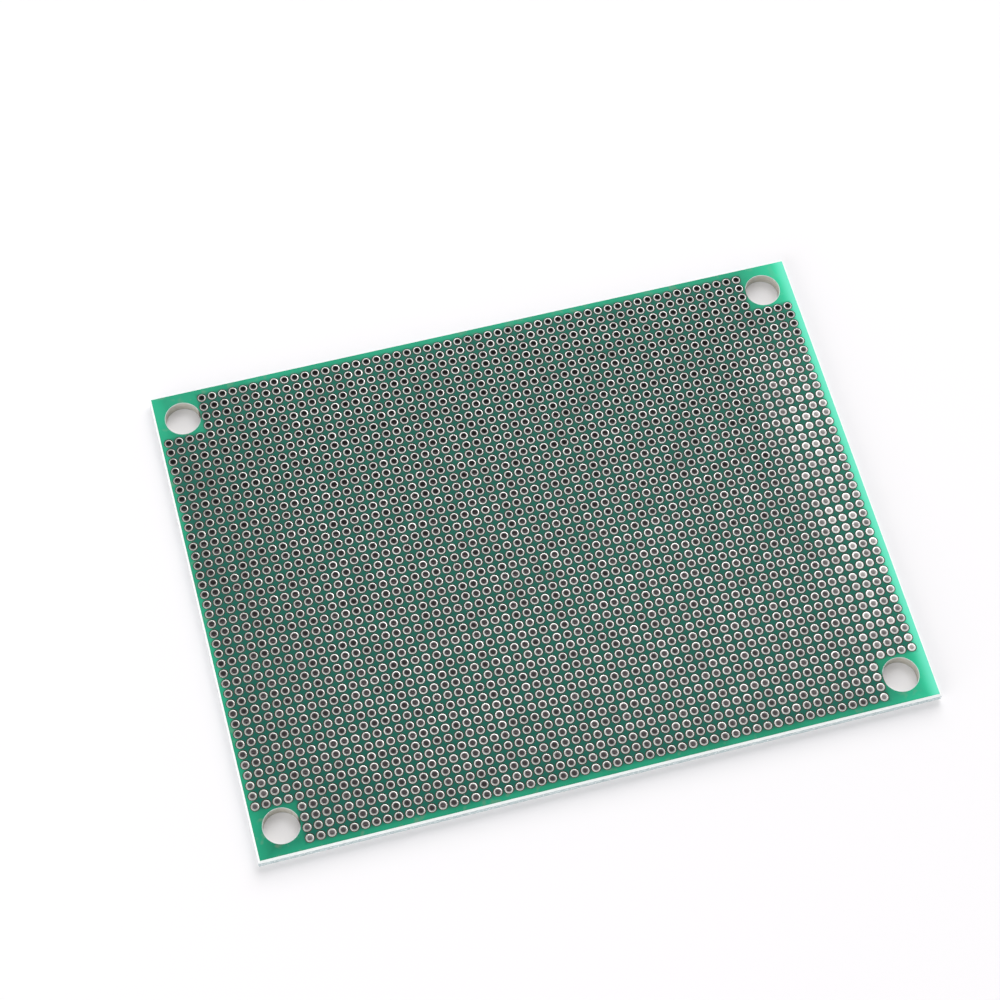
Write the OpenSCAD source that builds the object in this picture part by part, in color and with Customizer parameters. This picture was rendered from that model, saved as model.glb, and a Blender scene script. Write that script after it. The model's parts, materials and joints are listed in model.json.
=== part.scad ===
// Double-sided prototype board: a coated glass-epoxy panel, drilled on a fine grid,
// with a tinned, plated-through pad in every hole and a plain fixing hole in each corner.
// The board lies flat. The origin is at the middle of its underside, +X along its length, +Z up.

/* [Panel] */
// Length over the snapped edges
board_l = 80; // [80:1:120]
// Width over the snapped edges
board_w = 60; // [60:1:90]
// Thickness of the panel with its green coating on both faces
panel_t = 1.5; // [1.2:0.05:2.4]

/* [Scored edge] */
// Depth of the scoring groove in each face, which leaves a web that is snapped
score_depth = 0.3; // [0.2:0.05:0.5]
// How far each groove's flank leans in from the snapped edge
score_run = 0.2; // [0.05:0.05:0.3]

/* [Hole grid] */
// Distance between neighbouring holes, half of a tenth of an inch
pitch = 1.27; // [1.2:0.01:1.27]
// Holes along the length
columns = 62; // [40:2:62]
// Holes across the width
rows = 46; // [30:2:46]
// Rows and columns left out at each corner, round its fixing hole
corner_block = 4; // [4:1:6]
// How far the drilling, grid and fixing holes together, sits off the middle of the outline
drill_shift = -0.2; // [-0.3:0.05:0.3]

/* [Plated pads] */
// Diameter of the finished hole inside its plating
hole_d = 0.6; // [0.4:0.05:0.7]
// Diameter of the tinned pad round the hole
pad_d = 1; // [0.9:0.05:1.1]
// Height of the pad's crown, copper and tin together
pad_t = 0.05; // [0.03:0.01:0.1]
// Thickness of the plating on the wall of the hole
plating_t = 0.04; // [0.02:0.01:0.06]
// Gap left between the plating and the drilled wall
plating_gap = 0.01; // [0.005:0.005:0.02]

/* [Fixing holes] */
// Diameter of the plain hole in each corner
fixing_d = 4.2; // [3:0.1:4.4]
// Distance from the snapped edges to the centre of each fixing hole, before the drilling's shift
fixing_inset = 3.6; // [3.2:0.1:3.8]

/* [Hidden] */
// Quarters of the panel as [name, side along X, side along Y], joined face to face
QUARTERS = [
    ["panel_front_left", -1, -1],
    ["panel_front_right", 1, -1],
    ["panel_back_left", -1, 1],
    ["panel_back_right", 1, 1]
];
function row_name(r) = str("pad_row_", r < 9 ? "0" : "", r + 1);
$fn = 24;

hole_r = hole_d / 2;
pad_r = pad_d / 2;
plating_r = hole_r + plating_t;
drilled_r = plating_r + plating_gap;
fixing_r = fixing_d / 2;

// The board lies on the crowns of its lower pads
panel_z = pad_t;
panel_top = panel_z + panel_t;
// How far a cutting shape reaches past what it cuts
over = 1;

field_l = columns * pitch;
field_w = rows * pitch;
block = corner_block * pitch;

// A row near the front or back edge is shorter, because the corner blocks stay undrilled
function first_column(r) = r < corner_block || r >= rows - corner_block ? corner_block : 0;
function last_column(r) = columns - 1 - first_column(r);
function column_x(c) = (c - (columns - 1) / 2) * pitch + drill_shift;
function row_y(r) = (r - (rows - 1) / 2) * pitch;

// Children at each hole of one row, from one column to another
module along_row(r, c0, c1) {
    for (c = [c0:c1]) translate([column_x(c), row_y(r), 0]) children();
}

// Strip of panel with the drilled holes of one row, from one column to another
module drilled_strip(r, c0, c1) {
    difference() {
        translate([column_x(c0) - pitch / 2, row_y(r) - pitch / 2, panel_z])
            cube([(c1 - c0 + 1) * pitch, pitch, panel_t]);
        along_row(r, c0, c1) cylinder(r = drilled_r, h = panel_top + over);
    }
}

// Ground that the drilled strips fill: a rectangle without its four corner blocks
module field() {
    for (size = [[field_l, field_w - 2 * block], [field_l - 2 * block, field_w]])
        translate([drill_shift - size[0] / 2, -size[1] / 2, -over])
            cube([size[0], size[1], panel_top + 2 * over]);
}

// Children at the four fixing holes
module at_fixings() {
    reach_x = board_l / 2 - fixing_inset;
    reach_y = board_w / 2 - fixing_inset;
    for (x = [-1, 1], y = [-1, 1]) translate([drill_shift + x * reach_x, y * reach_y, 0]) children();
}

// Section across the panel: a groove flank above and below the snapped web on each side
module scored_section(width, length) {
    half = width / 2;
    flat_half = half - score_run;
    rotate([90, 0, 0])
        linear_extrude(height = length, center = true)
            polygon([
                [-flat_half, panel_z],
                [flat_half, panel_z],
                [half, panel_z + score_depth],
                [half, panel_top - score_depth],
                [flat_half, panel_top],
                [-flat_half, panel_top],
                [-half, panel_top - score_depth],
                [-half, panel_z + score_depth]
            ]);
}

// Undrilled rim of the whole panel, with its scored edges and fixing holes
module rim() {
    difference() {
        intersection() {
            scored_section(board_l, board_w + over);
            rotate([0, 0, 90]) scored_section(board_w, board_l + over);
        }
        field();
        at_fixings() translate([0, 0, -over]) cylinder(r = fixing_r, h = panel_top + 2 * over);
    }
}

// Ground of one quarter, whose inner sides run midway between the middle holes
module quarter(side_x, side_y) {
    translate([drill_shift + (side_x < 0 ? -board_l : 0), side_y < 0 ? -board_w : 0, -over])
        cube([board_l, board_w, panel_top + 2 * over]);
}

module panel_quarter(side_x, side_y) {
    r0 = side_y < 0 ? 0 : rows / 2;
    color("#2c9577") union() {
        intersection() {
            rim();
            quarter(side_x, side_y);
        }
        for (r = [r0:r0 + rows / 2 - 1])
            drilled_strip(
                r,
                side_x < 0 ? first_column(r) : columns / 2,
                side_x < 0 ? columns / 2 - 1 : last_column(r)
            );
    }
}

// Plated-through pad: a crowned ring on each face, joined by the plating of the hole
module plated_pad() {
    rotate_extrude()
        polygon([
            [hole_r, panel_z - pad_t],
            [pad_r, panel_z],
            [plating_r, panel_z],
            [plating_r, panel_top],
            [pad_r, panel_top],
            [hole_r, panel_top + pad_t]
        ]);
}

module pad_row(r) {
    color("#d2cfc6") along_row(r, first_column(r), last_column(r)) plated_pad();
}

for (q = QUARTERS) panel_quarter(q[1], q[2]);
for (r = [0:rows - 1]) pad_row(r);
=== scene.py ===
import json
import math
import bpy
from mathutils import Euler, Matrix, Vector


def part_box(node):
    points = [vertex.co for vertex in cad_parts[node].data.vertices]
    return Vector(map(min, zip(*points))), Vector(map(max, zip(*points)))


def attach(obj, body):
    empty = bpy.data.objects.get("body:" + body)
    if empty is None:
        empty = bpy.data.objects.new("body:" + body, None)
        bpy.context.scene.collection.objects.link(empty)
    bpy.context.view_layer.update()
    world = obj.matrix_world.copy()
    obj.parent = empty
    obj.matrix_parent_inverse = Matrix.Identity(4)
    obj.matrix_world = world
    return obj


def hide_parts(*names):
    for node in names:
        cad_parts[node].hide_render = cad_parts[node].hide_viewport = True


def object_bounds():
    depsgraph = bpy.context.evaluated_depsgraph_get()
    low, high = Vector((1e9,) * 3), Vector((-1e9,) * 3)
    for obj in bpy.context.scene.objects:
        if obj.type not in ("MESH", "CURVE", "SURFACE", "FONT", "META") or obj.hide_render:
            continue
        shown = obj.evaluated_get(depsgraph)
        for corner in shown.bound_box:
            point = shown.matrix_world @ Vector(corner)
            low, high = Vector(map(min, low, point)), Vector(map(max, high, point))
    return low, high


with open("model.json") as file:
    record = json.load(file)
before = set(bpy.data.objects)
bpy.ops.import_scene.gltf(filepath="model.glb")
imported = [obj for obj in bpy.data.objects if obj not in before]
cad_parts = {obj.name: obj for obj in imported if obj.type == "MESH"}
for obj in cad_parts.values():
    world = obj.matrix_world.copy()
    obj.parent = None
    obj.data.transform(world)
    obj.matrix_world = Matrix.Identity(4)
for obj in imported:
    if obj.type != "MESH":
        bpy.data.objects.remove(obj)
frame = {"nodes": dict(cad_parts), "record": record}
cad_low, cad_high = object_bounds()
scene = bpy.context.scene


# Camera
# It looks down on the board from beyond its front left corner, through a long lens,
# and its place is measured from the middle of the upper pads' crowns.
camera_offset = Vector((-0.043762, -0.122344, 0.274927))
camera_turn = Euler([math.radians(angle) for angle in (26.16416, -1.33906, -14.97222)])
camera_lens = 93.384
camera_sensor = 36

camera = bpy.data.objects.new("camera", bpy.data.cameras.new("camera"))
camera.data.lens = camera_lens
camera.data.sensor_width = camera_sensor
camera.location = Vector((0, 0, cad_high.z)) + camera_offset
camera.rotation_euler = camera_turn
scene.collection.objects.link(camera)
scene.camera = camera
scene.view_settings.view_transform = "Standard"


# Studio light
# A white tent, brighter near the table than overhead, lights the board evenly. One large
# soft lamp stands beyond its back edge and throws a faint shadow to the front; a weaker,
# low one whitens the left flanks.
tent_white = (1, 1, 1, 1)
tent_overhead = 0.28
tent_low_down = 1.67
tent_falloff = 2.0
tent_gloss = 0.60
lamps = {
    "key": {"place": (0.34, 0.76, 0.86), "size": 1.10, "power": 12.0},
    "fill": {"place": (-0.50, -0.34, 0.26), "size": 0.50, "power": 1.7},
}


def add(tree, kind, inputs=None, **settings):
    """Puts a node in a tree; an input is a value, or the output that is linked to it."""
    made = tree.nodes.new(kind)
    for key, value in settings.items():
        setattr(made, key, value)
    for key, value in (inputs or {}).items():
        if isinstance(value, bpy.types.NodeSocket):
            tree.links.new(value, made.inputs[key])
        else:
            made.inputs[key].default_value = value
    return made


def maths(tree, operation, *values):
    """The output of a Math node on one, two or three values."""
    return add(tree, "ShaderNodeMath", dict(enumerate(values)), operation=operation).outputs[0]


def seen_as_background(tree, in_gloss=1.0):
    """1 for rays that should meet plain white: from the camera, through glass, and by a
    share of their own those off a gloss."""
    path = add(tree, "ShaderNodeLightPath").outputs
    off_gloss = maths(tree, "MULTIPLY", path["Is Glossy Ray"], in_gloss)
    direct = maths(tree, "MAXIMUM", path["Is Camera Ray"], off_gloss)
    return maths(tree, "MAXIMUM", direct, path["Is Transmission Ray"])


world = bpy.data.worlds.new("tent")
world.use_nodes = True
scene.world = world
tent = world.node_tree
tent.nodes["Background"].inputs["Color"].default_value = tent_white
sky = add(tent, "ShaderNodeTexCoord").outputs["Generated"]
rise = add(tent, "ShaderNodeSeparateXYZ", {"Vector": sky}).outputs["Z"]
towards_table = maths(tent, "SUBTRACT", 1.0, maths(tent, "MAXIMUM", rise, 0.0))
low_down = maths(tent, "POWER", towards_table, tent_falloff)
tent_light = maths(tent, "MULTIPLY_ADD", low_down, tent_low_down - tent_overhead, tent_overhead)
tent_strength = add(
    tent,
    "ShaderNodeMapRange",
    {"Value": seen_as_background(tent, tent_gloss), "To Min": tent_light},
    clamp=False,
)
tent.links.new(tent_strength.outputs["Result"], tent.nodes["Background"].inputs["Strength"])

for name, lamp in lamps.items():
    light = bpy.data.lights.new(name, "AREA")
    light.size = lamp["size"]
    light.energy = lamp["power"]
    holder = bpy.data.objects.new(name, light)
    holder.location = lamp["place"]
    holder.rotation_euler = (-Vector(lamp["place"])).to_track_quat("-Z", "Y").to_euler()
    scene.collection.objects.link(holder)


# Table
# A white matt table top, on which the board lies flat. It shows as plain white, and keeps
# the soft shadow of the board.
table_reach = 3.0
table_white = (0.80, 0.785, 0.80, 1)
table_roughness = 0.9
table_shine = 0.1
table_lift = 0.12

table_top = bpy.data.objects.new("table_top", bpy.data.meshes.new("table_top"))
table_top.data.from_pydata(
    [(x * table_reach, y * table_reach, 0) for x, y in ((-1, -1), (1, -1), (1, 1), (-1, 1))],
    [],
    [(0, 1, 2, 3)],
)
scene.collection.objects.link(table_top)
matt_white = bpy.data.materials.new("matt_white")
matt_white.use_nodes = True
paint = matt_white.node_tree.nodes["Principled BSDF"].inputs
paint["Base Color"].default_value = table_white
paint["Roughness"].default_value = table_roughness
paint["Specular IOR Level"].default_value = table_shine
paint["Emission Color"].default_value = tent_white
lift = maths(
    matt_white.node_tree, "MULTIPLY", seen_as_background(matt_white.node_tree), table_lift
)
matt_white.node_tree.links.new(lift, paint["Emission Strength"])
table_top.data.materials.append(matt_white)


# Panel
# The rigid board itself: woven glass cloth and epoxy, pressed, drilled, and broken from its
# sheet along scored grooves. It shows white on the grooves' flanks, beige in the fixing
# holes, and as a thin dark ring round each pad, where the coating stops short.
row_names = sorted(name for name in frame["nodes"] if name.startswith("pad_row_"))
panel_names = sorted(name for name in frame["nodes"] if name.startswith("panel_"))
short_low, short_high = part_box(row_names[0])
next_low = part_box(row_names[1])[0]
long_low, long_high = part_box(row_names[len(row_names) // 2])
panel_low, panel_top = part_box(panel_names[0])[0].z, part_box(panel_names[0])[1].z
pitch = next_low.y - short_low.y
pad_width = short_high.y - short_low.y
rows = len(row_names)
columns = round((long_high.x - long_low.x - pad_width) / pitch) + 1
corner_block = round((short_low.x - long_low.x) / pitch)
drill_shift = (long_low.x + long_high.x) / 2
drilling = {
    "Pitch": pitch,
    "Shift": drill_shift,
    "Half Length": columns * pitch / 2,
    "Half Width": rows * pitch / 2,
    "Corner": corner_block * pitch,
}
groove_run = 0.0002
groove_depth = 0.0003
half_length, half_width = cad_high.x, cad_high.y
middle = (panel_low + panel_top) / 2
half_height = (panel_top - panel_low) / 2
laminate_white = (0.93, 0.96, 0.95, 1)
laminate_pale = (0.70, 0.78, 0.79, 1)
laminate_shade = (0.33, 0.42, 0.44, 1)
laminate_wall = (0.50, 0.47, 0.40, 1)
laminate_under_coat = (0.045, 0.026, 0.018, 1)
laminate_layers = {
    "Stretch": (0.25, 0.25, 1.6), "Scale": 5200, "Detail": 3, "Low": 0.35, "High": 0.66
}
laminate_specks = {
    "Stretch": (1, 1, 1), "Scale": 3600, "Detail": 2, "Low": 0.55, "High": 0.72
}
wall_layers = 0.3
laminate_relief = {"Strength": 0.5, "Distance": 0.00004}
bare_ring_end = 0.0002
# Bands over which one finish gives way to the next
edge_band = (-groove_run * 1.5, -groove_run * 1.2)
flank_blend = 0.00002
face_band = (half_height - 0.00003, half_height - 0.00001)


def new_group(name, kind, sockets_in, sockets_out):
    """A node group with named inputs and outputs; returns its tree and the two end nodes."""
    tree = bpy.data.node_groups.new(name, kind)
    for way, sockets in (("INPUT", sockets_in), ("OUTPUT", sockets_out)):
        for label, socket in sockets.items():
            tree.interface.new_socket(label, in_out=way, socket_type="NodeSocket" + socket)
    return tree, add(tree, "NodeGroupInput").outputs, add(tree, "NodeGroupOutput").inputs


def drilled_grid():
    """Masks that follow the drilling: how far a point is from its hole's centre, how far
    it is outside the drilled field, and one random value for each hole."""
    tree, sizes, results = new_group(
        "drilled_grid",
        "ShaderNodeTree",
        dict.fromkeys(drilling, "Float"),
        dict.fromkeys(("Radius", "Margin", "Chance"), "Float"),
    )
    place = add(tree, "ShaderNodeTexCoord").outputs["Object"]
    axes = add(tree, "ShaderNodeSeparateXYZ", {"Vector": place}).outputs
    x = maths(tree, "SUBTRACT", axes["X"], sizes["Shift"])
    cells, offsets = [], []
    for along in (x, axes["Y"]):
        cell = maths(tree, "DIVIDE", along, sizes["Pitch"])
        cells.append(maths(tree, "FLOOR", cell))
        share = maths(tree, "SUBTRACT", maths(tree, "FRACT", cell), 0.5)
        offsets.append(maths(tree, "MULTIPLY", share, sizes["Pitch"]))
    squares = [maths(tree, "MULTIPLY", offset, offset) for offset in offsets]
    radius = maths(tree, "SQRT", maths(tree, "ADD", *squares))
    out_x = maths(tree, "SUBTRACT", maths(tree, "ABSOLUTE", x), sizes["Half Length"])
    out_y = maths(tree, "SUBTRACT", maths(tree, "ABSOLUTE", axes["Y"]), sizes["Half Width"])
    wide = maths(tree, "MAXIMUM", out_x, maths(tree, "ADD", out_y, sizes["Corner"]))
    deep = maths(tree, "MAXIMUM", maths(tree, "ADD", out_x, sizes["Corner"]), out_y)
    number = add(tree, "ShaderNodeCombineXYZ", {"X": cells[0], "Y": cells[1]}).outputs[0]
    chance = add(tree, "ShaderNodeTexWhiteNoise", {"Vector": number}).outputs["Value"]
    tree.links.new(radius, results["Radius"])
    tree.links.new(maths(tree, "MINIMUM", wide, deep), results["Margin"])
    tree.links.new(chance, results["Chance"])
    return tree


def grain():
    """Fine uneven grain, with its own stretch along each axis: one value from 0 to 1."""
    tree, sizes, results = new_group(
        "grain",
        "ShaderNodeTree",
        {"Stretch": "Vector", "Scale": "Float", "Detail": "Float", "Low": "Float", "High": "Float"},
        {"Value": "Float"},
    )
    place = add(tree, "ShaderNodeTexCoord").outputs["Object"]
    turned = add(tree, "ShaderNodeMapping", {"Vector": place, "Scale": sizes["Stretch"]})
    noise = add(
        tree,
        "ShaderNodeTexNoise",
        {"Vector": turned.outputs[0], "Scale": sizes["Scale"], "Detail": sizes["Detail"]},
    )
    spread = add(
        tree,
        "ShaderNodeMapRange",
        {"Value": noise.outputs["Fac"], "From Min": sizes["Low"], "From Max": sizes["High"]},
    )
    tree.links.new(spread.outputs["Result"], results["Value"])
    return tree


drilled_grid_group = drilled_grid()
grain_group = grain()


def place_group(tree, group, values):
    """A shared group placed in a material with its own values; returns its outputs."""
    return add(tree, "ShaderNodeGroup", values, node_tree=group).outputs


def new_finish(name, **fixed):
    """A material, its tree and the inputs of its shader, with the fixed values set there."""
    made = bpy.data.materials.new(name)
    made.use_nodes = True
    tree = made.node_tree
    shader = tree.nodes["Principled BSDF"].inputs
    for label, value in fixed.items():
        shader[label.replace("_", " ")].default_value = value
    return made, tree, shader


def mix_colours(tree, share, first, second):
    """The colour between two, by a share from 0 to 1."""
    return add(
        tree, "ShaderNodeMix", {0: share, 6: first, 7: second}, data_type="RGBA"
    ).outputs[2]


def ramp_value(tree, value, low, high, to_low=0.0, to_high=1.0):
    """A value spread smoothly from one range to another, and held at its ends."""
    inputs = {
        "Value": value, "From Min": low, "From Max": high, "To Min": to_low, "To Max": to_high
    }
    return add(
        tree, "ShaderNodeMapRange", inputs, interpolation_type="SMOOTHSTEP"
    ).outputs["Result"]


def place_axes(tree):
    """A point's coordinates in the object, and its distance from the panel's middle plane."""
    place = add(tree, "ShaderNodeTexCoord").outputs["Object"]
    axes = add(tree, "ShaderNodeSeparateXYZ", {"Vector": place}).outputs
    depth = maths(tree, "ABSOLUTE", maths(tree, "SUBTRACT", axes["Z"], middle))
    return axes["X"], axes["Y"], depth


def laminate_finish():
    """Glass and resin: white on the flanks and the faces, streaky on the broken web, beige
    in the fixing holes and dark beside the pads."""
    made, tree, shader = new_finish(
        "glass_epoxy", Roughness=0.6, IOR=1.5, Specular_IOR_Level=0.3
    )
    grid = place_group(tree, drilled_grid_group, drilling)
    layers = place_group(tree, grain_group, laminate_layers)["Value"]
    specks = place_group(tree, grain_group, laminate_specks)["Value"]
    x, y, depth = place_axes(tree)
    past_x = maths(tree, "SUBTRACT", maths(tree, "ABSOLUTE", x), half_length)
    past_y = maths(tree, "SUBTRACT", maths(tree, "ABSOLUTE", y), half_width)
    beside = maths(tree, "MAXIMUM", past_x, past_y)
    at_edge = ramp_value(tree, beside, *edge_band)
    web_half = half_height - groove_depth
    on_flank = ramp_value(tree, depth, web_half - flank_blend, web_half + flank_blend)
    on_face = ramp_value(tree, depth, *face_band)
    white = maths(tree, "MULTIPLY", maths(tree, "MAXIMUM", on_face, on_flank), at_edge)
    web = mix_colours(tree, layers, laminate_shade, laminate_pale)
    web = mix_colours(tree, specks, web, laminate_white)
    streaks = maths(tree, "MULTIPLY", layers, wall_layers)
    wall = mix_colours(tree, streaks, laminate_wall, laminate_pale)
    wall = mix_colours(tree, on_face, wall, laminate_pale)
    bare = mix_colours(tree, at_edge, wall, web)
    bare = mix_colours(tree, white, bare, laminate_white)
    outside = ramp_value(tree, grid["Margin"], 0.0, bare_ring_end)
    tree.links.new(mix_colours(tree, outside, laminate_under_coat, bare), shader["Base Color"])
    bump = add(tree, "ShaderNodeBump", {"Height": layers, **laminate_relief})
    tree.links.new(bump.outputs["Normal"], shader["Normal"])
    return made


glass_epoxy = laminate_finish()
for name in panel_names:
    slots = frame["nodes"][name].data.materials
    slots.clear()
    slots.append(glass_epoxy)


# Snapped edge
# What stands between the two grooves once the board is broken from its sheet: torn cloth
# and resin, rough along all four sides, with the ends of single glass fibres.
edge_roughness = 0.00003
edge_step = 0.00014
edge_layers = 6
edge_seed = 5
# The blocks' thickness in times their roughness, and the share of it that is sunk
edge_thickness = 2.0
edge_sunk = 0.45
# The tearing fades by a power of the height, and leaves a trace beside the grooves
tear_scale = 5200.0
tear_detail = 1.0
tear_fade = 4.0
tear_most = 1.02
fibre_length = 0.00016
fibre_radius = 0.000012
fibre_spacing = 0.0011
fibre_run = 0.98
fibre_sides = 4
# Lowest and highest value of each random vector
fibre_scatter = {0: (-0.0005, -0.00001, -0.0003), 1: (0.0005, 0.00002, 0.0003)}
fibre_tilt = {0: (0.9, -0.7, 0), 1: (2.2, 0.7, 0)}
smooth_up_to = math.radians(65)


def grow(name, tree, values, start=None):
    """Runs a tree on a start mesh, and returns the result as a plain mesh object."""
    piece = bpy.data.objects.new(name, start or bpy.data.meshes.new(name))
    scene.collection.objects.link(piece)
    modifier = piece.modifiers.new("shape", "NODES")
    modifier.node_group = tree
    for item in tree.interface.items_tree:
        if item.in_out == "INPUT" and item.name in values:
            modifier[item.identifier] = values[item.name]
    view = bpy.context.evaluated_depsgraph_get()
    plain = bpy.data.meshes.new_from_object(piece.evaluated_get(view))
    piece.modifiers.remove(modifier)
    piece.data = plain
    plain.name = name
    return piece


def lathe(name, outline, segments):
    """A closed ring turned from an outline of (radius, height) points."""
    points = [
        (r * math.cos(turn), r * math.sin(turn), z)
        for turn in (2 * math.pi * s / segments for s in range(segments))
        for r, z in outline
    ]
    count = len(outline)
    faces = []
    for s in range(segments):
        here, there = s * count, (s + 1) % segments * count
        for i in range(count):
            j = (i + 1) % count
            faces.append((here + i, here + j, there + j, there + i))
    ring = bpy.data.meshes.new(name)
    ring.from_pydata(points, [], faces)
    ring.shade_smooth()
    ring.set_sharp_from_angle(angle=smooth_up_to)
    return ring


def snapped_edge_tree():
    """Four long blocks sunk in the panel's sides, each with a torn outer face and fibres."""
    tree, sizes, results = new_group(
        "snapped_edge",
        "GeometryNodeTree",
        {
            "Length": "Float", "Width": "Float", "Low": "Float", "High": "Float",
            "Step": "Float", "Layers": "Int", "Roughness": "Float", "Fibre": "Geometry",
            "Fibre Spacing": "Float", "Seed": "Int", "Laminate": "Material",
        },
        {"Edge": "Geometry"},
    )
    height = maths(tree, "SUBTRACT", sizes["High"], sizes["Low"])
    mid_height = maths(tree, "MULTIPLY", maths(tree, "ADD", sizes["High"], sizes["Low"]), 0.5)
    sink = maths(tree, "MULTIPLY", sizes["Roughness"], edge_thickness)
    whole = add(tree, "GeometryNodeJoinGeometry")
    for side, (run, across) in enumerate((("Length", "Width"), ("Width", "Length")) * 2):
        seed = maths(tree, "ADD", sizes["Seed"], float(side))
        block = add(
            tree,
            "GeometryNodeMeshCube",
            {
                "Size": add(
                    tree, "ShaderNodeCombineXYZ", {"X": sizes[run], "Y": sink, "Z": height}
                ).outputs[0],
                "Vertices X": maths(tree, "DIVIDE", sizes[run], sizes["Step"]),
                "Vertices Y": 2,
                "Vertices Z": sizes["Layers"],
            },
        ).outputs["Mesh"]
        place = add(tree, "GeometryNodeInputPosition").outputs[0]
        axes = add(tree, "ShaderNodeSeparateXYZ", {"Vector": place}).outputs
        torn = add(
            tree,
            "ShaderNodeTexNoise",
            {"Vector": place, "Scale": tear_scale, "Detail": tear_detail, "W": seed},
            noise_dimensions="4D",
        ).outputs["Fac"]
        share = maths(tree, "DIVIDE", maths(tree, "MULTIPLY", axes["Z"], 2.0), height)
        towards_grooves = maths(tree, "POWER", maths(tree, "ABSOLUTE", share), tear_fade)
        within = maths(tree, "SUBTRACT", tear_most, towards_grooves)
        push = maths(tree, "MULTIPLY", maths(tree, "MULTIPLY", torn, within), sizes["Roughness"])
        offset = add(tree, "ShaderNodeCombineXYZ", {"Y": maths(tree, "MULTIPLY", push, -1.0)})
        outer = maths(tree, "LESS_THAN", axes["Y"], 0.0)
        block = add(
            tree,
            "GeometryNodeSetPosition",
            {"Geometry": block, "Selection": outer, "Offset": offset.outputs[0]},
        ).outputs[0]
        first = maths(tree, "MULTIPLY", sizes[run], -fibre_run / 2)
        step = maths(tree, "MULTIPLY", sizes["Fibre Spacing"], fibre_run)
        line = add(
            tree,
            "GeometryNodeMeshLine",
            {
                "Count": maths(tree, "DIVIDE", sizes[run], sizes["Fibre Spacing"]),
                "Start Location": add(tree, "ShaderNodeCombineXYZ", {"X": first}).outputs[0],
                "Offset": add(tree, "ShaderNodeCombineXYZ", {"X": step}).outputs[0],
            },
        ).outputs[0]
        spread, tilt = (
            add(
                tree,
                "FunctionNodeRandomValue",
                {**limits, "Seed": seed},
                data_type="FLOAT_VECTOR",
            ).outputs[0]
            for limits in (fibre_scatter, fibre_tilt)
        )
        line = add(tree, "GeometryNodeSetPosition", {"Geometry": line, "Offset": spread}).outputs[0]
        fibres = add(
            tree,
            "GeometryNodeInstanceOnPoints",
            {"Points": line, "Instance": sizes["Fibre"], "Rotation": tilt},
        ).outputs[0]
        both = add(tree, "GeometryNodeJoinGeometry")
        for part in (block, fibres):
            tree.links.new(part, both.inputs[0])
        inwards = maths(tree, "MULTIPLY", sink, edge_sunk)
        half_across = maths(tree, "MULTIPLY", sizes[across], 0.5)
        out = maths(tree, "SUBTRACT", inwards, half_across)
        out = add(tree, "ShaderNodeCombineXYZ", {"Y": out, "Z": mid_height}).outputs[0]
        moved = add(
            tree, "GeometryNodeTransform", {"Geometry": both.outputs[0], "Translation": out}
        ).outputs[0]
        turned = add(
            tree,
            "GeometryNodeTransform",
            {"Geometry": moved, "Rotation": (0, 0, side * math.pi / 2)},
        ).outputs[0]
        tree.links.new(turned, whole.inputs[0])
    edge = add(tree, "GeometryNodeRealizeInstances", {"Geometry": whole.outputs[0]}).outputs[0]
    edge = add(
        tree, "GeometryNodeSetMaterial", {"Geometry": edge, "Material": sizes["Laminate"]}
    ).outputs[0]
    tree.links.new(edge, results["Edge"])
    return tree


fibre_outline = [(0, 0), (fibre_radius, 0), (fibre_radius, fibre_length), (0, fibre_length)]
fibre = lathe("fibre", fibre_outline, fibre_sides)
snapped_edge = grow(
    "snapped_edge",
    snapped_edge_tree(),
    {
        "Length": 2 * half_length,
        "Width": 2 * half_width,
        "Low": panel_low + groove_depth,
        "High": panel_top - groove_depth,
        "Step": edge_step,
        "Layers": edge_layers,
        "Roughness": edge_roughness,
        "Fibre Spacing": fibre_spacing,
        "Seed": edge_seed,
        "Laminate": glass_epoxy,
    },
    fibre,
)
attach(snapped_edge, "root")


# Coating
# Green solder-stop lacquer, printed on both faces and cured. It leaves a round opening at
# each pad and stops just short of the scored groove and of the fixing holes.
coating_thickness = 0.00002
bare_ring = 0.00008
opening_width = pad_width + 2 * bare_ring
coating_setback = 0.00002
opening_segments = 12
fixing_segments = 72
fixing_clearance = 0.00005
fixing_bores = [m for m in frame["record"]["mounts"] if m["kind"] == "bore"]
# Dark between the pads: partly the lacquer's own colour, partly painted shade of the pads beneath
coating_field = (0.0045, 0.096, 0.070, 1)
coating_margin = (0.011, 0.220, 0.127, 1)
coating_margin_thick = (0.007, 0.176, 0.094, 1)
coating_stain = (0.083, 0.187, 0.121, 1)
# Painted light, which brightens the lacquer along the edges
coating_painted_light = (0.033, 0.690, 0.380, 1)
# A painted sheen along the right edge
coating_painted_sheen = (0.160, 0.770, 0.550, 1)
# A painted shadow ring round each pad's opening
coating_painted_shadow = (0.022, 0.050, 0.036, 1)
coating_clouds = {"Stretch": (1, 1, 1), "Scale": 240, "Detail": 3, "Low": 0.3, "High": 0.6}
coating_peel = {"Stretch": (1, 1, 1), "Scale": 1500, "Detail": 2, "Low": 0.3, "High": 0.7}
coating_stains = {"Stretch": (1, 1, 1), "Scale": 900, "Detail": 1, "Low": 0.60, "High": 0.72}
coating_relief = {"Strength": 0.12, "Distance": 0.00002}
coating_roughness = (0.30, 0.40)
# Distances from the edges, and shares of the painted light that are reached there. A range
# runs from one distance to another, and then gives the share at each of its ends.
edge_light_reach = {"right": 0.0026, "left": 0.0026, "back": 0.0028, "front": 0.0016}
edge_light_share = {"right": 0.38, "left": 0.24, "back": 0.08, "front": 0.16}
edge_light_full = 0.0003
# Wider painted light towards the right and the back edges
wide_light_right = (0.0080, 0.0005, 0, 0.44)
wide_light_back = (0.0100, 0.0040, 0, 0.16)
edge_light_in_clouds = (0.88, 1.0)
field_clouds = 0.02
# The share of the painted light that reaches in among the pads
edge_light_in_field = 0.13
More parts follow.
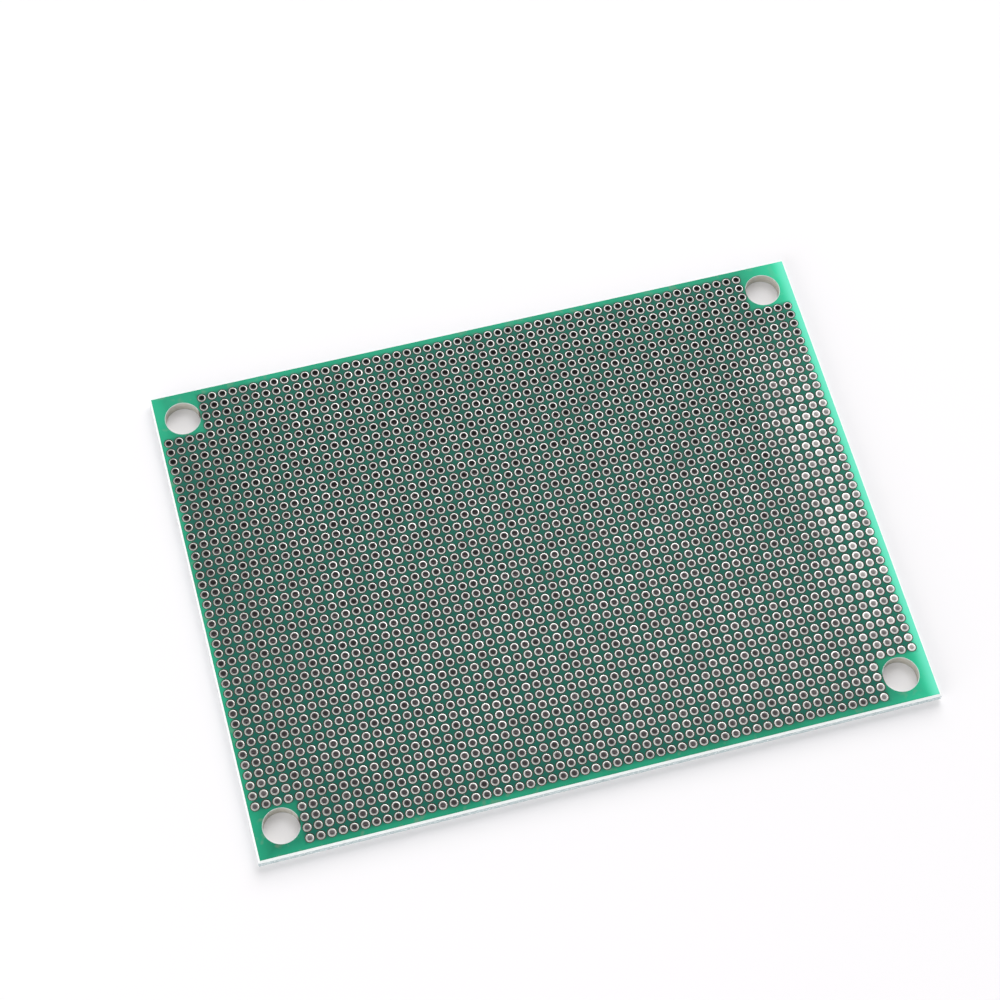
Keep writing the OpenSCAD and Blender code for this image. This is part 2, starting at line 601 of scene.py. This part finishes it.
# Reach of the painted sheen at the right edge, narrower towards the back
sheen_reach = 0.0018
sheen_narrower_at_back = 3.0
sheen_back_gap = 0.0008
# Width of the painted shadow ring round each opening
shadow_rim_width = 0.00005
field_to_margin = (-0.0005, 0.0002)
border_strip = (0.0013, 0.0005)
border_strip_shift = 0.0003


def coating_tree():
    """A flat sheet of square tiles, each with a round opening, joined to a plain border
    with the fixing holes, and then given its thickness."""
    tree, sizes, results = new_group(
        "coating_sheet",
        "GeometryNodeTree",
        {
            "Pitch": "Float", "Columns": "Int", "Rows": "Int", "Corner Block": "Int",
            "Shift": "Float", "Opening Width": "Float", "Length": "Float", "Width": "Float",
            "Fixing Width": "Float", "Fixing Span X": "Float", "Fixing Span Y": "Float",
            "Underside": "Float", "Thickness": "Float", "Coating": "Material",
        },
        {"Sheet": "Geometry"},
    )
    field_l = maths(tree, "MULTIPLY", sizes["Columns"], sizes["Pitch"])
    field_w = maths(tree, "MULTIPLY", sizes["Rows"], sizes["Pitch"])
    block = maths(tree, "MULTIPLY", sizes["Corner Block"], sizes["Pitch"])
    cells = add(
        tree,
        "GeometryNodeMeshGrid",
        {
            "Size X": field_l, "Size Y": field_w,
            "Vertices X": maths(tree, "ADD", sizes["Columns"], 1),
            "Vertices Y": maths(tree, "ADD", sizes["Rows"], 1),
        },
    ).outputs["Mesh"]
    place = add(tree, "GeometryNodeInputPosition").outputs[0]
    axes = add(tree, "ShaderNodeSeparateXYZ", {"Vector": place}).outputs
    beyond = []
    for axis, extent in (("X", field_l), ("Y", field_w)):
        inner = maths(tree, "SUBTRACT", maths(tree, "MULTIPLY", extent, 0.5), block)
        reach = maths(tree, "ABSOLUTE", axes[axis])
        beyond.append(maths(tree, "GREATER_THAN", reach, inner))
    cells = add(
        tree,
        "GeometryNodeDeleteGeometry",
        {"Geometry": cells, "Selection": maths(tree, "MULTIPLY", *beyond)},
        domain="FACE",
    ).outputs[0]
    shift = add(tree, "ShaderNodeCombineXYZ", {"X": sizes["Shift"]}).outputs[0]
    cells = add(tree, "GeometryNodeSetPosition", {"Geometry": cells, "Offset": shift}).outputs[0]

    square = add(
        tree,
        "GeometryNodeCurvePrimitiveQuadrilateral",
        {"Width": sizes["Pitch"], "Height": sizes["Pitch"]},
    ).outputs[0]
    opening = add(
        tree,
        "GeometryNodeCurvePrimitiveCircle",
        {
            "Resolution": opening_segments,
            "Radius": maths(tree, "MULTIPLY", sizes["Opening Width"], 0.5),
        },
    ).outputs[0]
    tile_outline = add(tree, "GeometryNodeJoinGeometry")
    for curve in (square, opening):
        tree.links.new(curve, tile_outline.inputs[0])
    tile = add(tree, "GeometryNodeFillCurve", {"Curve": tile_outline.outputs[0]}).outputs[0]
    centres = add(tree, "GeometryNodeMeshToPoints", {"Mesh": cells}, mode="FACES").outputs[0]
    tiles = add(tree, "GeometryNodeInstanceOnPoints", {"Points": centres, "Instance": tile})
    tiles = add(tree, "GeometryNodeRealizeInstances", {"Geometry": tiles.outputs[0]}).outputs[0]

    outline = add(
        tree,
        "GeometryNodeCurvePrimitiveQuadrilateral",
        {"Width": sizes["Length"], "Height": sizes["Width"]},
    ).outputs[0]
    neighbours = add(tree, "GeometryNodeInputMeshEdgeNeighbors").outputs[0]
    field_edge = add(
        tree,
        "GeometryNodeMeshToCurve",
        {"Mesh": cells, "Selection": maths(tree, "LESS_THAN", neighbours, 1.5)},
    ).outputs[0]
    fixing_centres = add(
        tree,
        "GeometryNodeMeshGrid",
        {
            "Size X": sizes["Fixing Span X"], "Size Y": sizes["Fixing Span Y"],
            "Vertices X": 2, "Vertices Y": 2,
        },
    ).outputs["Mesh"]
    fixing_centres = add(
        tree, "GeometryNodeSetPosition", {"Geometry": fixing_centres, "Offset": shift}
    ).outputs[0]
    fixing_circle = add(
        tree,
        "GeometryNodeCurvePrimitiveCircle",
        {
            "Resolution": fixing_segments,
            "Radius": maths(tree, "MULTIPLY", sizes["Fixing Width"], 0.5),
        },
    ).outputs[0]
    circles = add(
        tree,
        "GeometryNodeInstanceOnPoints",
        {"Points": fixing_centres, "Instance": fixing_circle},
    ).outputs[0]
    circles = add(tree, "GeometryNodeRealizeInstances", {"Geometry": circles}).outputs[0]
    border_outline = add(tree, "GeometryNodeJoinGeometry")
    for curve in (outline, field_edge, circles):
        tree.links.new(curve, border_outline.inputs[0])
    border = add(tree, "GeometryNodeFillCurve", {"Curve": border_outline.outputs[0]}).outputs[0]

    touching = maths(tree, "MULTIPLY", sizes["Thickness"], 0.1)
    both = add(tree, "GeometryNodeJoinGeometry")
    for part in (tiles, border):
        tree.links.new(part, both.inputs[0])
    flat = add(
        tree,
        "GeometryNodeMergeByDistance",
        {"Geometry": both.outputs[0], "Distance": touching},
    ).outputs[0]
    raised = add(
        tree,
        "GeometryNodeExtrudeMesh",
        {"Mesh": flat, "Offset Scale": sizes["Thickness"], "Individual": False},
    ).outputs["Mesh"]
    closed = add(tree, "GeometryNodeJoinGeometry")
    for part in (raised, add(tree, "GeometryNodeFlipFaces", {"Mesh": flat}).outputs[0]):
        tree.links.new(part, closed.inputs[0])
    sheet = add(
        tree,
        "GeometryNodeMergeByDistance",
        {"Geometry": closed.outputs[0], "Distance": touching},
    ).outputs[0]
    height = add(tree, "ShaderNodeCombineXYZ", {"Z": sizes["Underside"]}).outputs[0]
    sheet = add(tree, "GeometryNodeSetPosition", {"Geometry": sheet, "Offset": height}).outputs[0]
    sheet = add(tree, "GeometryNodeRealizeInstances", {"Geometry": sheet}).outputs[0]
    sheet = add(
        tree, "GeometryNodeSetMaterial", {"Geometry": sheet, "Material": sizes["Coating"]}
    ).outputs[0]
    tree.links.new(sheet, results["Sheet"])
    return tree


def coating_finish():
    """Lacquer: dark teal between the pads, partly its own colour and partly painted shade, with a
    painted shadow ring round each opening; green with faint stains where pale resin lies under
    it; painted light near the edges, and a painted sheen at the right one."""
    made, tree, shader = new_finish("green_lacquer", IOR=1.5, Specular_IOR_Level=0.10)
    grid = place_group(tree, drilled_grid_group, drilling)
    clouds = place_group(tree, grain_group, coating_clouds)["Value"]
    peel = place_group(tree, grain_group, coating_peel)["Value"]
    stains = place_group(tree, grain_group, coating_stains)["Value"]
    x, y, _ = place_axes(tree)
    edges = {
        "right": maths(tree, "SUBTRACT", half_length, x),
        "left": maths(tree, "ADD", x, half_length),
        "back": maths(tree, "SUBTRACT", half_width, y),
        "front": maths(tree, "ADD", y, half_width),
    }
    # Painted light along each edge, fading inwards
    beside = 0.0
    for side, distance in edges.items():
        painted_glow = ramp_value(tree, distance, edge_light_reach[side], edge_light_full, 0, edge_light_share[side])
        beside = maths(tree, "MAXIMUM", beside, painted_glow)
    painted_edge_light = maths(tree, "ADD", ramp_value(tree, edges["right"], *wide_light_right), beside)
    painted_edge_light = maths(tree, "ADD", painted_edge_light, ramp_value(tree, edges["back"], *wide_light_back))
    painted_edge_light = maths(tree, "MULTIPLY", painted_edge_light, ramp_value(tree, clouds, 0, 1, *edge_light_in_clouds))
    spilt = maths(tree, "MULTIPLY", painted_edge_light, edge_light_in_field)
    field = maths(tree, "MULTIPLY_ADD", clouds, field_clouds, spilt)
    field = mix_colours(tree, field, coating_field, coating_painted_light)
    # A painted shadow ring round each opening
    shadow_rim = ramp_value(tree, grid["Radius"], opening_width / 2, opening_width / 2 + shadow_rim_width)
    field = mix_colours(tree, shadow_rim, coating_painted_shadow, field)
    margin = mix_colours(tree, clouds, coating_margin_thick, coating_margin)
    margin = mix_colours(tree, stains, margin, coating_stain)
    margin = mix_colours(tree, painted_edge_light, margin, coating_painted_light)
    # A painted sheen along the right edge, narrowing towards the back
    sheen_distance = maths(tree, "MULTIPLY_ADD", edges["back"], sheen_narrower_at_back, sheen_back_gap)
    sheen_distance = maths(tree, "MINIMUM", edges["right"], sheen_distance)
    margin = mix_colours(tree, ramp_value(tree, sheen_distance, sheen_reach, 0.0), margin, coating_painted_sheen)
    nearest = maths(tree, "SUBTRACT", edges["right"], border_strip_shift)
    nearest = maths(tree, "MINIMUM", edges["left"], nearest)
    nearest = maths(tree, "MINIMUM", nearest, edges["back"])
    outside = maths(
        tree,
        "MAXIMUM",
        ramp_value(tree, grid["Margin"], *field_to_margin),
        ramp_value(tree, nearest, *border_strip),
    )
    tree.links.new(mix_colours(tree, outside, field, margin), shader["Base Color"])
    tree.links.new(ramp_value(tree, peel, 0, 1, *coating_roughness), shader["Roughness"])
    bump = add(tree, "ShaderNodeBump", {"Height": peel, **coating_relief})
    tree.links.new(bump.outputs["Normal"], shader["Normal"])
    return made


green_lacquer = coating_finish()
coating_sheet = coating_tree()
bore_places = [Vector(bore["pos_m"]) for bore in fixing_bores]
coating_sizes = {
    "Pitch": pitch,
    "Columns": columns,
    "Rows": rows,
    "Corner Block": corner_block,
    "Shift": drill_shift,
    "Opening Width": opening_width,
    "Length": 2 * (half_length - groove_run - coating_setback),
    "Width": 2 * (half_width - groove_run - coating_setback),
    "Fixing Width": fixing_bores[0]["dims"]["r_mm"] * 2 / 1000 + 2 * fixing_clearance,
    "Fixing Span X": max(p.x for p in bore_places) - min(p.x for p in bore_places),
    "Fixing Span Y": max(p.y for p in bore_places) - min(p.y for p in bore_places),
    "Thickness": coating_thickness,
    "Coating": green_lacquer,
}
for name, underside in (
    ("top_coating", panel_top),
    ("bottom_coating", panel_low - coating_thickness),
):
    coating = grow(name, coating_sheet, {**coating_sizes, "Underside": underside})
    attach(coating, "root")


# Pads
# Each is a copper ring on both faces, joined through its hole by plating and dipped in hot
# tin, which draws up into a low round crown. One piece is one row of them.
hole_radius = 0.0003
plating_radius = 0.00034
pad_radius = pad_width / 2
crown_height = cad_high.z - panel_top
crown_slope = 0.00007
crown_at_hole = 0.3
pad_segments = 12
pad_spread = 0.05
tin_bright = (0.92, 0.925, 0.90, 1)
tin_dull = (0.62, 0.625, 0.60, 1)
tin_painted_shade = (0.41, 0.43, 0.39, 1)
tin_frost = {"Stretch": (1, 1, 1), "Scale": 2600, "Detail": 3, "Low": 0.35, "High": 0.65}
tin_relief = {"Strength": 0.25, "Distance": 0.00001}
tin_roughness = (0.50, 0.30)
tone_by_chance = 0.4
tone_by_frost = 0.6
# A range runs from one place to another along an axis, and then gives the share at each of
# its ends, where these aren't 0 and 1.
# Painted shade on the crowns towards the left and the front
painted_shade_left = (0.020 - half_length, -half_length, 0, 0.65)
painted_shade_front = (0.012 - half_width, -half_width, 0, 0.35)
# Painted shade inside the holes
barrel_painted_shade = (0.008, 0.006, 0.006, 1)
# A painted glint deep in the holes
barrel_painted_glint = (0.47, 0.39, 0.42, 1)
# Painted light in the holes to the right, the front and the near left corner
barrel_painted_light = (0.61, 0.59, 0.58, 1)
barrel_unlit = (0, 0, 0, 1)
# The holes glow faintly by emission, as painted light, with a least share everywhere
barrel_painted_glow = 0.20
barrel_least_lit = 0.06
# Where the holes take painted light, and how much by chance
painted_pale_right = (half_length - 0.012, half_length - 0.004)
painted_pale_right_back_end = (0.024, 0.008)
painted_pale_front = (0.026, -half_width, 0, 0.40)
painted_pale_front_left_end = (-0.030, 0.035, 0.6, 1.0)
painted_pale_near_left_corner = (-0.048, -0.066, 0, 0.6)
painted_pale_by_chance = (0.6, 1.0)
# Where the painted glint lies: towards the front, and deep in the holes
glint_to_front = (half_width, 0.0, 0.4, 1.0)
glint_depth = (0.00030, 0.00008)
glint_light = 0.5
on_face_height = (half_height - 0.00002, half_height + 0.00001)
# The crown's inner slope takes the holes' painted shade
on_ring_radius = (hole_radius + 0.00006, hole_radius + 0.00012)


def pad_row_tree():
    """One pad set out along a row, each copy turned and sized a little at random."""
    tree, sizes, results = new_group(
        "pad_row",
        "GeometryNodeTree",
        {
            "Pad": "Geometry", "Pitch": "Float", "Columns": "Int", "First X": "Float",
            "Row Y": "Float", "Spread": "Float", "Seed": "Int", "Tin": "Material",
        },
        {"Row": "Geometry"},
    )
    start = add(tree, "ShaderNodeCombineXYZ", {"X": sizes["First X"], "Y": sizes["Row Y"]})
    step = add(tree, "ShaderNodeCombineXYZ", {"X": sizes["Pitch"]})
    line = add(
        tree,
        "GeometryNodeMeshLine",
        {"Count": sizes["Columns"], "Start Location": start.outputs[0], "Offset": step.outputs[0]},
    ).outputs[0]
    turn = add(
        tree,
        "FunctionNodeRandomValue",
        {2: 0.0, 3: 2 * math.pi, "Seed": sizes["Seed"]},
        data_type="FLOAT",
    ).outputs[1]
    smallest = maths(tree, "SUBTRACT", 1.0, sizes["Spread"])
    wide, deep = (
        add(
            tree,
            "FunctionNodeRandomValue",
            {2: smallest, 3: 1.0, "Seed": maths(tree, "MULTIPLY_ADD", sizes["Seed"], 2.0, way)},
            data_type="FLOAT",
        ).outputs[1]
        for way in (0.0, 1.0)
    )
    copies = add(
        tree,
        "GeometryNodeInstanceOnPoints",
        {
            "Points": line,
            "Instance": sizes["Pad"],
            "Rotation": add(tree, "ShaderNodeCombineXYZ", {"Z": turn}).outputs[0],
            "Scale": add(tree, "ShaderNodeCombineXYZ", {"X": wide, "Y": deep, "Z": 1.0}).outputs[0],
        },
    ).outputs[0]
    row = add(tree, "GeometryNodeRealizeInstances", {"Geometry": copies}).outputs[0]
    row = add(
        tree, "GeometryNodeSetMaterial", {"Geometry": row, "Material": sizes["Tin"]}
    ).outputs[0]
    tree.links.new(row, results["Row"])
    return tree


def tin_finish():
    """Tin: bright and faintly uneven on the crowns, with painted shade to the left and the
    front. The holes hold painted shade, a painted glint and a faint painted glow, with painted
    light to the right, the front and the near left corner."""
    made, tree, shader = new_finish("dipped_tin", Emission_Strength=barrel_painted_glow)
    grid = place_group(tree, drilled_grid_group, drilling)
    frost = place_group(tree, grain_group, tin_frost)["Value"]
    frosted = maths(tree, "MULTIPLY", frost, tone_by_frost)
    tone = maths(tree, "MULTIPLY_ADD", grid["Chance"], tone_by_chance, frosted)
    crown = mix_colours(tree, tone, tin_dull, tin_bright)
    x, y, depth = place_axes(tree)
    # Painted shade on the crowns, towards the left and the front
    painted_shade = ramp_value(tree, x, *painted_shade_left)
    painted_shade = maths(tree, "ADD", painted_shade, ramp_value(tree, y, *painted_shade_front))
    crown = mix_colours(tree, painted_shade, crown, tin_painted_shade)
    # Painted light in the holes to the right, the front and the near left corner
    right = ramp_value(tree, x, *painted_pale_right)
    right = maths(tree, "MULTIPLY", right, ramp_value(tree, y, *painted_pale_right_back_end))
    front = ramp_value(tree, y, *painted_pale_front)
    front = maths(tree, "MULTIPLY", front, ramp_value(tree, x, *painted_pale_front_left_end))
    corner = ramp_value(tree, maths(tree, "ADD", x, y), *painted_pale_near_left_corner)
    painted_pale = maths(tree, "MAXIMUM", maths(tree, "MAXIMUM", right, front), corner)
    chance = ramp_value(tree, grid["Chance"], 0, 1, *painted_pale_by_chance)
    painted_pale = maths(tree, "MULTIPLY", painted_pale, chance)
    # A painted glint deep in the holes, stronger towards the front
    glint = maths(tree, "MULTIPLY", grid["Chance"], ramp_value(tree, y, *glint_to_front))
    glint = maths(tree, "MULTIPLY", glint, ramp_value(tree, depth, *glint_depth))
    # Painted shade in the holes, with a painted glint
    barrel = mix_colours(tree, glint, barrel_painted_shade, barrel_painted_glint)
    barrel = mix_colours(tree, painted_pale, barrel, barrel_painted_light)
    painted_glow = mix_colours(tree, painted_pale, barrel_painted_glint, barrel_painted_light)
    on_face = ramp_value(tree, depth, *on_face_height)
    on_ring = ramp_value(tree, grid["Radius"], *on_ring_radius)
    on_crown = maths(tree, "MULTIPLY", on_face, on_ring)
    tree.links.new(mix_colours(tree, on_crown, barrel, crown), shader["Base Color"])
    tree.links.new(on_crown, shader["Metallic"])
    in_barrel = maths(tree, "SUBTRACT", 1.0, on_crown)
    # The holes glow faintly by emission, as painted light
    lit = maths(tree, "MAXIMUM", painted_pale, maths(tree, "MULTIPLY", glint, glint_light))
    lit = maths(tree, "MULTIPLY", maths(tree, "ADD", lit, barrel_least_lit), in_barrel)
    tree.links.new(mix_colours(tree, lit, barrel_unlit, painted_glow), shader["Emission Color"])
    tree.links.new(ramp_value(tree, frost, 0, 1, *tin_roughness), shader["Roughness"])
    bump = add(tree, "ShaderNodeBump", {"Height": frost, **tin_relief})
    tree.links.new(bump.outputs["Normal"], shader["Normal"])
    return made


upper_outline = [
    (plating_radius, panel_top),
    (pad_radius, panel_top),
    (pad_radius - crown_slope, panel_top + crown_height),
    (hole_radius, panel_top + crown_height * crown_at_hole),
]
lower_outline = [(r, panel_low + panel_top - z) for r, z in reversed(upper_outline)]
dipped_tin = tin_finish()
pad_row = pad_row_tree()
one_pad = lathe("one_pad", upper_outline + lower_outline, pad_segments)
for number, name in enumerate(row_names):
    row_low, row_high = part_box(name)
    row_sizes = {
        "Pitch": pitch,
        "Columns": round((row_high.x - row_low.x - pad_width) / pitch) + 1,
        "First X": row_low.x + pad_radius,
        "Row Y": (row_low.y + row_high.y) / 2,
        "Spread": pad_spread,
        "Seed": number,
        "Tin": dipped_tin,
    }
    pads = grow("tinned_" + name, pad_row, row_sizes, one_pad)
    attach(pads, "root")
    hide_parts(name)
